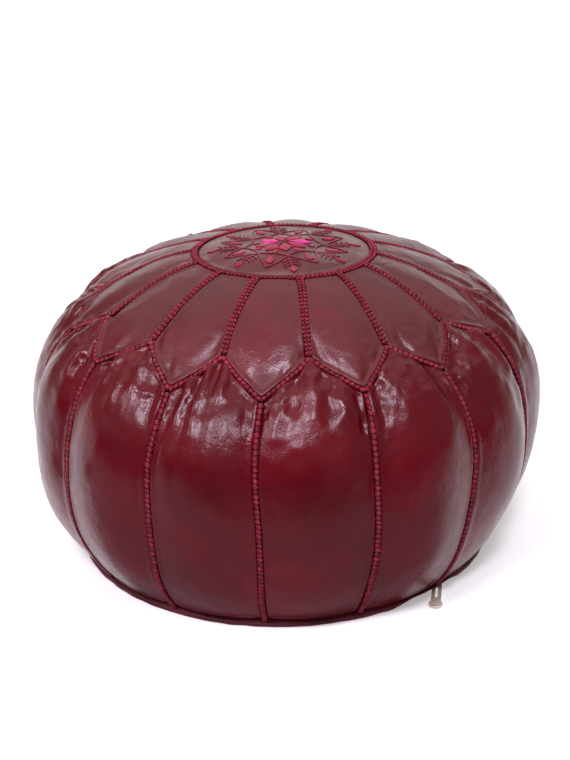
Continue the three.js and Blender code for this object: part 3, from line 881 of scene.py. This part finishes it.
def base_height(y):
    """Height of the base's underside beside the zip: flat on the floor, then up into the channel."""
    y = np.abs(y)
    fold = 0.45 * np.exp(-(((y - SLIT_HALF - 1.6) / 1.6) ** 2))
    return CHANNEL_Z * (1 - smooth_step(y, CHANNEL_HALF, RAMP_HALF)) - fold


def base_piece(name, side, node):
    """Half of the base, folded back along the zip, with the two rows of stitches that hold the tape."""
    edge = HEM_INNER - TOUCH
    y = side * (SLIT_HALF + (edge - 2 - SLIT_HALF) * np.linspace(0, 1, 91)[:, None] ** 1.15)
    x = -side * np.sqrt(edge**2 - y**2) * np.linspace(-1, 1, 121)[None, :]
    shut = smooth_step(-x, *ZIP_END) * np.exp(-(((np.abs(y) - SLIT_HALF) / 6) ** 2))
    y = y - side * (SLIT_HALF - TOUCH) * shut
    flat = np.stack([x, y], -1)
    crease = waves(flat, 12, 46, 41) * waves(flat, 6, 90, 42)
    under = base_height(y) + 0.25 * np.abs(crease) * smooth_step(np.abs(y), SLIT_HALF, 20)
    outer = np.stack([x, y, under], -1)
    inner = np.stack([x, y, base_height(y) + BASE_THICKNESS], -1)
    points, faces = shell(outer, inner)
    run = np.linspace(-TAPE_REACH + 12, TAPE_REACH - 18, 300)
    parts = [(from_zip(points), faces, 0)]
    for row_y in (SLIT_HALF + 3.6, SLIT_HALF + 8.4):
        path = np.stack([run, np.full(300, side * row_y), np.full(300, CHANNEL_Z - 0.05)], -1)
        down = np.tile([0.0, 0.0, -1.0], (300, 1))
        row = beads(bead(0.9, 2.6, 0.7, 1, 6), path, down, 3.4, np.random.default_rng(43 + side), 0.12)
        parts.append((from_zip(row[0]), row[1], 1))
    cover_piece(name, parts, [base_leather, braid_thread], "base_leather", node)


base_piece("base_leather_left", 1, "base_left")
base_piece("base_leather_right", -1, "base_right")


# ---- zip ----
def coil_piece(side, name, node):
    """One side of the zip's nylon coil: a flat helix round a cord, its loops between the other side's."""
    pitch, steps, wire, bite = 1.35, 10, 0.5, 1.1
    turns = int((COIL_CLOSED - COIL_OPEN - 2) / pitch)
    t = np.arange(turns * steps) / steps
    angle = 2 * math.pi * t
    half_y, half_z = (COIL_WIDTH + bite - wire) / 2, (COIL_HEIGHT - wire) / 2
    out = np.stack([0 * t, side * np.cos(angle), np.sin(angle)], -1)
    centre = np.stack([COIL_OPEN + 1 + pitch * (t + 0.25 + 0.25 * side), 0 * t, 0 * t], -1)
    centre += [0, side * (COIL_INNER + (COIL_WIDTH - bite) / 2), COIL_Z + COIL_HEIGHT / 2]
    wound = sweep(centre + out * [1, half_y, half_z], out, oval(wire, wire, 5))
    run = np.linspace(COIL_OPEN, COIL_CLOSED, 9)
    path = np.stack([run, np.full(9, side * (COIL_INNER + 1.4)), np.full(9, COIL_Z + 1.6)], -1)
    cord = sweep(path, UP, oval(3.2, 1.5, 10))
    parts = [(from_zip(points), faces, index) for index, (points, faces) in enumerate((wound, cord))]
    cover_piece(name, parts, [zip_nylon, zip_tape], "zip_nylon", node)


def tape_piece(side, name, node):
    """One woven zip tape, with a thick cord along its inner edge."""
    cord_y, edge_y = TAPE_INNER + np.array([0, 0.5, 1.4, 2.2]), TAPE_OUTER - np.array([0.6, 0])
    y = np.concatenate([cord_y, [10, 15, 20], edge_y])
    thick = np.array([0.5, 1.0, 1.0, 0.75, 0.7, 0.7, 0.7, 0.8, 0.5]) * TAPE_THICKNESS
    x = np.linspace(-TAPE_REACH - 4, TAPE_REACH, 240)[::-side]
    x, y, thick = np.broadcast_arrays(x[None, :], y[:, None], thick[:, None])
    y = side * (y - (TAPE_INNER - TOUCH) * smooth_step(-x, *ZIP_END) * np.clip((10 - y) / 6, 0, 1))
    middle = TAPE_Z + TAPE_THICKNESS / 2
    outer = np.stack([x, y, middle - thick / 2], -1)
    inner = np.stack([x, y, middle + thick / 2], -1)
    points, faces = shell(outer, inner)
    cover_piece(name, [(from_zip(points), faces, 0)], [zip_tape], "zip_tape", node)


for side, hand in ((1, "left"), (-1, "right")):
    coil_piece(side, f"zip_loops_{hand}", f"zip_coil_{hand}")
    tape_piece(side, f"zip_ribbon_{hand}", f"zip_tape_{hand}")


def arc(x, y, radius, start, end, count=18):
    angle = np.radians(np.linspace(start, end, count))
    return np.stack([x + radius * np.cos(angle), y + radius * np.sin(angle)], -1)


def plate(outlines, thickness, round_edge):
    """Points and faces of a flat plate with rounded edges, from its outline and its holes."""
    curve = bpy.data.curves.new("plate", "CURVE")
    curve.dimensions = "2D"
    curve.fill_mode = "BOTH"
    for outline in outlines:
        spline = curve.splines.new("POLY")
        spline.points.add(len(outline) - 1)
        for point, (x, y) in zip(spline.points, outline):
            point.co = (x, y, 0, 1)
        spline.use_cyclic_u = True
    curve.extrude = thickness / 2 - round_edge
    curve.bevel_depth = round_edge
    curve.bevel_resolution = 2
    curve.offset = -round_edge
    piece = bpy.data.objects.new("plate", curve)
    bpy.context.scene.collection.objects.link(piece)
    mesh = bpy.data.meshes.new_from_object(piece.evaluated_get(bpy.context.evaluated_depsgraph_get()))
    points = np.array([v.co for v in mesh.vertices])
    by_size = {}
    for polygon in mesh.polygons:
        by_size.setdefault(len(polygon.vertices), []).append(list(polygon.vertices))
    bpy.data.objects.remove(piece)
    return points, [np.array(group) for group in by_size.values()]


def slider_piece():
    """The zip slider: two tapered plates joined at the nose, with rims, and a bar below for the pull."""
    low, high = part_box("zip_slider")
    bottom, top = low[2] / MM, high[2] / MM
    half = [(-8, 4.2), (-7.2, 5), (0, 6), (4.2, 6), (5.2, 5)]
    outline = np.array(half + [(x, -y) for x, y in reversed(half)])
    parts = []
    for z in (5.65, top - 0.65):
        points, faces = plate([outline[::-1]], 1.3, 0.35)
        parts.append((points + [0, 0, z], faces, 0))
    for side in (-1, 1):
        for z in (6.7, 10.2):
            rim = np.array([(-7.6, 4.5 * side, z), (0, 5.4 * side, z), (4.6, 5.4 * side, z)])
            parts.append((*sweep(rim, UP, oval(0.9, 1.2, 8, 0.7)), 0))
    nose = np.array([(2.4, 0, 5.5), (2.4, 0, 11.2)])
    parts.append((*sweep(nose, (1.0, 0.0, 0.0), oval(0.7, 4.2, 10)), 0))
    angle = np.linspace(0, math.pi, 25)
    loop = np.stack([-4.3 * np.cos(angle), 0 * angle, 5.2 - (5.2 - bottom - 0.6) * np.sin(angle) ** 0.45], -1)
    parts.append((*sweep(loop, (0.0, 1.0, 0.0), oval(1.1, 1.9, 10, 0.8)), 0))
    parts = [(from_zip(points + np.array([SLIDER_X, 0, 0])), faces, index) for points, faces, index in parts]
    settle(mesh_piece("zip_slider_body", parts, [zip_metal]), "slider", "zip_metal", "zip_slider")


def pull_piece():
    """The zip pull: a flat tab with a round eye, a long slot and a round end, its edges softened."""
    eye = math.degrees(math.asin((PULL["half"] - 1) / PULL["outer"]))
    bulb = math.degrees(math.asin(PULL["half"] / PULL["bulb"]))
    outline = np.concatenate([
        arc(0, 0, PULL["outer"], eye, 360 - eye, 30),
        [(PULL["neck"], -PULL["half"])],
        arc(PULL["bulb_x"], 0, PULL["bulb"], bulb - 180, 180 - bulb, 30),
        [(PULL["neck"], PULL["half"])],
    ])
    hole = arc(0, 0, PULL["hole"], 0, 345, 24)[::-1]
    slot = np.concatenate([
        arc(PULL["slot"][1], 0, PULL["slot_half"], -90, 90, 9),
        arc(PULL["slot"][0], 0, PULL["slot_half"], 90, 270, 9),
    ])[::-1]
    points, faces = plate([outline, hole, slot], PULL["thick"], 0.45)
    turn = Matrix.Rotation(math.radians(PULL["droop"]), 4, "Y") @ Matrix.Translation((PULL["eye"], 0, 0))
    turn = turn @ Matrix.Rotation(math.radians(PULL["yaw"]), 4, "Z")
    turn = np.array(Matrix.Translation((SLIDER_X + PULL["x"], 0, PULL["z"])) @ turn)
    points = points @ turn[:3, :3].T + turn[:3, 3]
    piece = mesh_piece("zip_pull_tab", [(from_zip(points), faces, 0)], [zip_metal])
    settle(piece, "pull", "zip_metal", "zip_pull")


def stop_piece():
    """A clip of sheet metal bent round the two coils' open end."""
    x = COIL_OPEN - TOUCH - 3
    angle = np.linspace(0, 2 * math.pi, 49)[:-1]
    ring = oval(7.0, 2.6, 48, 0.55)
    path = np.stack([np.full(48, x), ring[:, 0], COIL_Z + COIL_HEIGHT / 2 + ring[:, 1]], -1)
    out = unit(np.stack([0 * angle, np.cos(angle), np.sin(angle)], -1))
    points, faces = sweep(path, out, oval(5.4, 0.5, 10, 0.6), closed=True)
    cover_piece("zip_stop_clip", [(from_zip(points), faces, 0)], [zip_metal], "zip_metal", "zip_bottom_stop")


slider_piece()
pull_piece()
stop_piece()


# ---- cotton bag and wadding ----
def body_profile(offset, floor):
    """The inside of the cover from the apex down to a flat floor, this far in."""
    shares = np.linspace(1, 0, 40)
    r, z = profile_point(shares, offset)
    keep = z > floor + 2
    r, z = r[keep], z[keep]
    r[0] = 0
    turn = np.linspace(0, 1, 5) * math.pi / 2
    corner = np.stack([r[-1] - 2 + 2 * np.cos(turn), floor + 2 - 2 * np.sin(turn)], -1)
    return np.concatenate([np.stack([r, z], -1), corner[1:]])


def bag_place(azimuth, r, z):
    """The bag's cloth is pleated over its shoulder and round its mouth."""
    pleat = 0.9 * np.sin(azimuth * 42 + 2 * np.sin(azimuth * 5)) * np.exp(-(((r - 150) / 60) ** 2))
    mouth = 0.5 * np.sin(azimuth * 60) * np.exp(-(((r - LINER_MOUTH) / 12) ** 2)) * (z < 40)
    return handmade(around(azimuth, r, z - np.abs(pleat) * (z > 200) + np.abs(mouth)))


def wadding_place(azimuth, r, z):
    """Lumps of wadding, pressed into the bag."""
    points = around(azimuth, r, z)
    lump = np.abs(waves(points, 14, 70, 61))[..., None]
    centre = np.array([0.0, 0.0, 140.0])
    return handmade(points - unit(points - centre) * lump * 1.6)


outside = body_profile(-LINER_DEPTH, LINER_FLOOR)
inner_floor = LINER_FLOOR + LINER_THICKNESS
inside = body_profile(-LINER_DEPTH - LINER_THICKNESS, inner_floor)
mouth = [(LINER_MOUTH, LINER_FLOOR), (LINER_MOUTH - 1.2, LINER_FLOOR + 0.7), (LINER_MOUTH, inner_floor)]
bag = turned(np.concatenate([outside, mouth, inside[::-1]]), 336, bag_place)
cover_piece("cotton_bag", [(*bag, 0)], [lining_cotton], "lining_cotton", "liner_bag")
core_floor = inner_floor + 2 * TOUCH
core_profile = body_profile(-LINER_DEPTH - LINER_THICKNESS - 2 * TOUCH, core_floor)
core_base = [(radius, core_floor) for radius in (180, 140, 100, 60, 20, 0)]
core = turned(np.concatenate([core_profile, core_base]), 168, wadding_place)
piece = cover_piece("cotton_wadding", [(*core, 0)], [wadding_fibre], "wadding", "wadding_core")


# ---- camera ----
camera_data = bpy.data.cameras.new("camera")
camera_data.sensor_width = CAMERA["sensor"]
camera_data.lens = CAMERA["lens"]
camera = bpy.data.objects.new("camera", camera_data)
azimuth = math.radians(CAMERA["azimuth"])
spot = Vector(around(azimuth, CAMERA["distance"], CAMERA["height"]))
camera.matrix_world = (
    Matrix.Translation(spot)
    @ Matrix.Rotation(azimuth - math.radians(CAMERA["yaw"]), 4, "Z")
    @ Matrix.Rotation(math.radians(90 - CAMERA["pitch"]), 4, "X")
    @ Matrix.Rotation(math.radians(CAMERA["roll"]), 4, "Z")
)
bpy.context.scene.collection.objects.link(camera)
bpy.context.scene.camera = camera


# ---- floor and light ----
def stage_sheet(name, corners, colour, glow=0.0):
    """A flat sheet of the studio, from its corners in millimetres."""
    finish = {"specular_ior_level": 0.2, "emission_color": (1, 1, 1, 1), "emission_strength": glow}
    material = Nodes(name).finish((*colour, 1), 0.95, **finish)
    sheet = mesh_piece(name, [(corners, [[(0, 1, 2, 3)]], 0)], [material])
    sheet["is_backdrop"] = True
    return sheet


def area_light(name, location, target, size, power, colour):
    light = bpy.data.lights.new(name, "AREA")
    light.shape = "RECTANGLE"
    light.size, light.size_y = size
    light.energy = power
    light.color = colour
    lamp = bpy.data.objects.new(name, light)
    direction = Vector(target) - Vector(location)
    lamp.matrix_world = Matrix.Translation(location) @ direction.to_track_quat("-Z", "Y").to_matrix().to_4x4()
    bpy.context.scene.collection.objects.link(lamp)


def level(left, right, near, far, z=1):
    """The corners of a sheet that lies level."""
    return [(left, near, z), (right, near, z), (right, far, z), (left, far, z)]


def upright(start, end, top):
    """The corners of a sheet that stands on the floor from start to end."""
    return [(*start, 1), (*end, 1), (*end, top), (*start, top)]


FLOOR = 20000
stage_sheet("floor", level(-FLOOR, FLOOR, -FLOOR, FLOOR, -0.5), (0.88, 0.88, 0.87), 0.3)

# Cards that only reflections see: the dark room and the grey floor in front of the pouf.
LEFT, RIGHT, NEAR, FAR, FRONT = -1350, 1350, -170, -480, -1250
for name, shade, corners in (
    ("grey_floor", 0.34, level(LEFT, RIGHT, NEAR, FAR)),
    ("dark_floor", 0.02, level(LEFT, RIGHT, FAR, FRONT)),
    ("dark_front", 0.02, upright((LEFT, FRONT), (RIGHT, FRONT), 420)),
    ("dark_floor_left", 0.02, level(LEFT, -480, -60, NEAR)),
    ("dark_left", 0.02, upright((LEFT, -60), (LEFT, FRONT), 350)),
    ("dark_right", 0.04, upright((RIGHT, FRONT), (RIGHT, -100), 300)),
):
    card = stage_sheet(name, corners, (shade, shade, 1.05 * shade))
    card.visible_camera = False
    card.visible_diffuse = False
    card.visible_shadow = False

# Places and sizes in metres, power in watts.
for name, location, size, power, colour in (
    ("front_left", (-0.65, -1.5, 2.1), (0.6, 0.45), 38, (1, 0.9, 1.08)),
    ("front_right", (0.55, -1.35, 2.3), (0.5, 0.4), 34, (1, 0.9, 1.08)),
    ("side_left", (-1.7, -0.7, 1.7), (0.5, 0.5), 14, (1, 0.94, 1.04)),
    ("overhead", (0.0, 0.9, 2.6), (4.5, 3.0), 36, (1, 0.98, 1)),
    ("back", (0.0, 3.0, 0.8), (4.0, 1.2), 15, (1, 0.97, 0.98)),
):
    area_light(name, location, (0, 0, 0.25), size, power, colour)

world = bpy.data.worlds.new("room")
bpy.context.scene.world = world
world.use_nodes = True
background = world.node_tree.nodes["Background"].inputs
background["Color"].default_value = (1, 0.99, 0.98, 1)
background["Strength"].default_value = 0.36
bpy.context.scene.view_settings.view_transform = "Standard"

low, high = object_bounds()
size = {"cad": [list(cad_low), list(cad_high)], "visual": [list(low), list(high)]}
